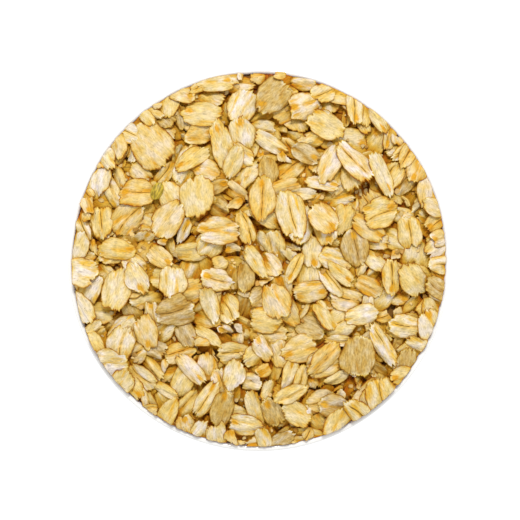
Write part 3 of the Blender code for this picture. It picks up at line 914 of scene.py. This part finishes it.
# Golden flakes
# Whole flakes on which more of the bran was pressed into the starch. Steam browned it, and it
# shows as broad golden washes from end to end.
golden = rolled_oat("rolled oat, golden", "#F1DDC0", "#EDD39A", "#EAB63C", "#A0681A", "#56320A")
flake_piece("flakes_golden", with_side(0.56, 0.88), golden)

# Bran flakes
# Whole flakes that lie with the skin of the grain up. The pressed bran is a greyish tan, with fine
# darker lines along the grain.
bran_colours = ("#E8D2A8", "#D8B87C", "#C8983A", "#8C6626", "#4A300C")
bran = rolled_oat("rolled oat, bran side", *bran_colours, stripes=0.6)
flake_piece("flakes_bran", with_side(0.88, 1.01), bran)

# Narrow flakes
# Thinner grains, and halves that split along the crease as the rollers pressed them. They are of
# the same pale starch as the cream flakes.
flake_piece("flakes_narrow", with_side(0.0, 1.01, ("narrow",)), cream)

# Broken flakes
# Bits of flakes that broke as they were rolled, bagged and poured, with straight crumbly sides.
# They are of starch and bran, like the golden flakes.
BIT_TURNS = 36  # fewer than a whole flake needs
BIT_TOP_RINGS = (0.45, 0.8, 1.0)
BIT_UNDER_RINGS = (0.85,)
broken = with_side(0.0, 1.01, ("broken",))
flake_piece("flakes_broken", broken, golden, BIT_TURNS, BIT_TOP_RINGS, BIT_UNDER_RINGS)

# Crumbs
# Specks of starch and bran that the flakes shed as they were bagged and poured. They rolled into
# the low spots between the flakes, and lie there loose.
CRUMBS = 340
CRUMB_SIZES = (0.7, 2.4)  # mm
CRUMB_SIDES = 7
CRUMB_HALF = 0.32 * MM  # half the thickness of the larger crumbs
LOW_SPOT = 1.0 * MM  # a spot this far below the heap's smoothed top always takes a crumb
CRUMB_SEED = 77


def crumb_points(draw):
    """The corners of one crumb: an uneven prism, a little narrower at the top, lying on the heap."""
    size = draw.uniform(*CRUMB_SIZES) * MM / 2
    while True:
        place = np.array(spot_in_mouth(draw, margin=2 * MM))
        lies_on = cells(place[0], place[1])
        if swells[lies_on] - heap[lies_on] > draw.uniform(0.0, 1.0) * LOW_SPOT:
            break
    turns = np.linspace(0, 2 * math.pi, CRUMB_SIDES, endpoint=False) + draw.uniform(0, 6.3)
    reaches = size * draw.uniform(0.6, 1.15, CRUMB_SIDES)
    narrow = draw.uniform(0.6, 1.0)
    flat = np.stack([reaches * np.cos(turns), reaches * np.sin(turns) * narrow])
    thick = min(size, CRUMB_HALF)
    low = np.concatenate([flat, np.full((1, CRUMB_SIDES), -thick)])
    high = np.concatenate([flat * 0.8, draw.uniform(0.5, 1.0, (1, CRUMB_SIDES)) * thick])
    slope = draw.normal(0, 0.3, 2)
    points = tilted(slope, draw.uniform(0, 2 * math.pi)) @ np.concatenate([low, high], axis=1)
    up = min(heap[lies_on] + 0.5 * thick, cad_box[1].z - 2 * thick)
    return points.T + (place[0], place[1], up)


def crumb_piece():
    """All crumbs in one piece, each marked with how golden and how light it is."""
    draw = np.random.default_rng(CRUMB_SEED)
    points, faces, marks = [], [], []
    around = np.arange(CRUMB_SIDES)
    following = (around + 1) % CRUMB_SIDES
    sides = np.stack([around, following, following + CRUMB_SIDES, around + CRUMB_SIDES], axis=1)
    for number in range(CRUMBS):
        first = number * 2 * CRUMB_SIDES
        points += crumb_points(draw).tolist()
        faces += (sides + first).tolist()
        faces.append((around[::-1] + first).tolist())
        faces.append((around + CRUMB_SIDES + first).tolist())
        marks += [(draw.random(), draw.random(), 0.0)] * (2 * CRUMB_SIDES)
    data = bpy.data.meshes.new("crumbs")
    data.from_pydata(points, [], faces)
    layer = data.attributes.new("marks", "FLOAT_VECTOR", "POINT")
    layer.data.foreach_set("vector", np.array(marks, dtype=np.float32).ravel())
    piece = bpy.data.objects.new("crumbs", data)
    bpy.context.scene.collection.objects.link(piece)
    return piece


def crumb_of_oat():
    """Broken starch and bran, matt: each crumb from straw to bran gold, some darker than others."""
    material, tree, output = new_material("oat crumb")
    own = add_node(tree, "ShaderNodeAttribute", {"attribute_name": "marks"}).outputs["Vector"]
    gold, tone, _ = add_node(tree, "ShaderNodeSeparateXYZ", {}, {0: own}).outputs
    starch_to_bran = {"data_type": "RGBA", 6: linear("#EBCB88"), 7: linear("#BE862A")}
    mixed = add_node(tree, "ShaderNodeMath", {"operation": "POWER", 1: 2.2}, {0: gold}).outputs[0]
    colour = add_node(tree, "ShaderNodeMix", starch_to_bran, {0: mixed}).outputs[2]
    dark_to_light = {"To Min": 0.6, "To Max": 0.95}
    value = add_node(tree, "ShaderNodeMapRange", dark_to_light, {"Value": tone}).outputs[0]
    wires = {"Color": colour, "Value": value}
    colour = add_node(tree, "ShaderNodeHueSaturation", {"Saturation": 1.05}, wires).outputs[0]
    body = {"Roughness": 0.7, "IOR": 1.45}
    surface = add_node(tree, "ShaderNodeBsdfPrincipled", body, {"Base Color": colour})
    tree.links.new(surface.outputs[0], output.inputs["Surface"])
    return material


crumbs = crumb_piece()
crumbs.data.materials.append(crumb_of_oat())
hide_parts("oats")
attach(crumbs, "root")

# Husk
# One scrap of the green-gold husk that the mill left in: a thin leaf whose sides curled under as
# it dried, lying loose on the flakes.
HUSK_PLACE = (-30.3 * MM, 20.3 * MM)
HUSK_LENGTH, HUSK_WIDTH = 5.2 * MM, 3.4 * MM
HUSK_THICKNESS = 0.2 * MM
HUSK_TURN = math.radians(65)
HUSK_STEPS = (16, 8)  # along and across
HUSK_ARCH = 0.55 * MM  # across it
HUSK_DROOP = 0.5 * MM  # of its ends
HUSK_RIBS = 0.08 * MM
HUSK_LIFT = 0.1 * MM  # above the flakes on which it lies


def husk_leaf():
    """A leaf pointed at both ends, arched across and ribbed along, with its ends drooping."""
    lengthwise = np.linspace(-1, 1, HUSK_STEPS[0] + 1)
    sideways = np.linspace(-1, 1, HUSK_STEPS[1] + 1)
    along, across = np.meshgrid(lengthwise, sideways, indexing="ij")
    half_width = HUSK_WIDTH / 2 * np.sqrt(np.maximum(1 - np.abs(along) ** 2.2, 0.004))
    x, y = along * HUSK_LENGTH / 2, across * half_width
    z = HUSK_ARCH * (1 - across**2) - HUSK_DROOP * along**2 + HUSK_RIBS * np.cos(across * 12)
    c, s = math.cos(HUSK_TURN), math.sin(HUSK_TURN)
    east, north = HUSK_PLACE[0] + c * x - s * y, HUSK_PLACE[1] + s * x + c * y
    lies_at = np.percentile(heap[cells(east, north)], 75) + HUSK_LIFT
    up = np.minimum(z + lies_at, cad_box[1].z - TOP_GAP - HUSK_THICKNESS)
    rows, columns = along.shape
    corner = np.arange(rows * columns).reshape(rows, columns)
    faces = np.stack([corner[:-1, :-1], corner[1:, :-1], corner[1:, 1:], corner[:-1, 1:]], axis=-1)
    points = np.stack([east, north, up], axis=-1)
    data = bpy.data.meshes.new("husk")
    data.from_pydata(points.reshape(-1, 3).tolist(), [], faces.reshape(-1, 4).tolist())
    data.shade_smooth()
    husk = bpy.data.objects.new("husk", data)
    bpy.context.scene.collection.objects.link(husk)
    skin = husk.modifiers.new("thickness", "SOLIDIFY")
    skin.thickness = HUSK_THICKNESS
    skin.offset = 1.0
    return husk


def dry_husk():
    """Dry oat husk: waxy and faintly shiny, olive gold, with darker veins along it."""
    vein = 0.5 * MM  # from one vein to the next
    material, tree, output = new_material("oat husk, dry")
    place = add_node(tree, "ShaderNodeNewGeometry", {}).outputs["Position"]
    turned_back = {"rotation_type": "Z_AXIS", "Angle": -HUSK_TURN}
    straight = add_node(tree, "ShaderNodeVectorRotate", turned_back, {"Vector": place}).outputs[0]
    sizes = {"operation": "MULTIPLY", 1: (0.3 / vein, 1 / vein, 0.3 / vein)}
    stretched = add_node(tree, "ShaderNodeVectorMath", sizes, {0: straight}).outputs[0]
    veining = {"Scale": 1.0, "Detail": 2.0}
    veins = add_node(tree, "ShaderNodeTexNoise", veining, {"Vector": stretched}).outputs[0]
    olive = {"data_type": "RGBA", 6: linear("#86700E"), 7: linear("#CCAE2E")}
    limits = {"From Min": 0.35, "From Max": 0.65}
    share = add_node(tree, "ShaderNodeMapRange", limits, {"Value": veins}).outputs[0]
    colour = add_node(tree, "ShaderNodeMix", olive, {0: share}).outputs[2]
    body = {"Roughness": 0.45, "IOR": 1.45}
    surface = add_node(tree, "ShaderNodeBsdfPrincipled", body, {"Base Color": colour})
    tree.links.new(surface.outputs[0], output.inputs["Surface"])
    return material


husk = husk_leaf()
husk.data.materials.append(dry_husk())
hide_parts("oats")
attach(husk, "root")

# Floor
# A light table: a sheet of opal acrylic lit from below, so that the ground is an even full white
# and takes next to no shadow.
FLOOR_SIZE = 3.0
floor_data = bpy.data.meshes.new("floor")
half = FLOOR_SIZE / 2
corners = [(-half, -half, 0), (half, -half, 0), (half, half, 0), (-half, half, 0)]
floor_data.from_pydata(corners, [], [(0, 1, 2, 3)])
floor = bpy.data.objects.new("floor", floor_data)
bpy.context.scene.collection.objects.link(floor)
material, tree, output = new_material("opal acrylic, lit from below")
sheet = {"Base Color": linear("#7C7C7C"), "Roughness": 0.5}
glow = {"Emission Color": linear("#FFFFFF"), "Emission Strength": 0.86}
surface = add_node(tree, "ShaderNodeBsdfPrincipled", sheet | glow)
tree.links.new(surface.outputs[0], output.inputs["Surface"])
floor_data.materials.append(material)

# Light
# A round softbox stands behind the bowl and high over it, and a white room fills the shade. The
# flakes are lit from the top of the picture, with short soft shadows below them.
ROOM_BRIGHTNESS = 0.86
SOFTBOX_WIDTH = 0.25
SOFTBOX_WATTS = 8.6
SOFTBOX_PLACE = (0.04, 0.60, 1.06)
scene = bpy.context.scene
scene.view_settings.view_transform = "Standard"
world = bpy.data.worlds.new("studio")
world.use_nodes = True
room = world.node_tree.nodes["Background"]
room.inputs["Color"].default_value = linear("#FFFFFF")
room.inputs["Strength"].default_value = ROOM_BRIGHTNESS
scene.world = world
lamp_data = bpy.data.lights.new("softbox", "AREA")
lamp_data.shape = "DISK"
lamp_data.size = SOFTBOX_WIDTH
lamp_data.energy = SOFTBOX_WATTS
lamp = bpy.data.objects.new("softbox", lamp_data)
lamp.location = SOFTBOX_PLACE
toward_bowl = Vector((0, 0, BOWL_HEIGHT)) - lamp.location
lamp.rotation_euler = toward_bowl.to_track_quat("-Z", "Y").to_euler()
scene.collection.objects.link(lamp)

# Camera
# It looks straight down on the mouth of the bowl through a long lens, so that the round of oats
# fills seven tenths of the picture.
IMAGE_SIZE = 520
MOUTH_IN_PIXELS = 374
MIDDLE_IN_PIXELS = (259.0, 259.5)
camera_data = bpy.data.cameras.new("camera")
camera_data.lens = 100
camera_data.sensor_width = 36
camera = bpy.data.objects.new("camera", camera_data)
pixel = 2 * (MOUTH_RADIUS + OVER_LIP) / MOUTH_IN_PIXELS
camera.location = (
    (IMAGE_SIZE / 2 - MIDDLE_IN_PIXELS[0]) * pixel,
    (MIDDLE_IN_PIXELS[1] - IMAGE_SIZE / 2) * pixel,
    HEAP_EDGE + IMAGE_SIZE * pixel * camera_data.lens / camera_data.sensor_width,
)
scene.collection.objects.link(camera)
scene.camera = camera
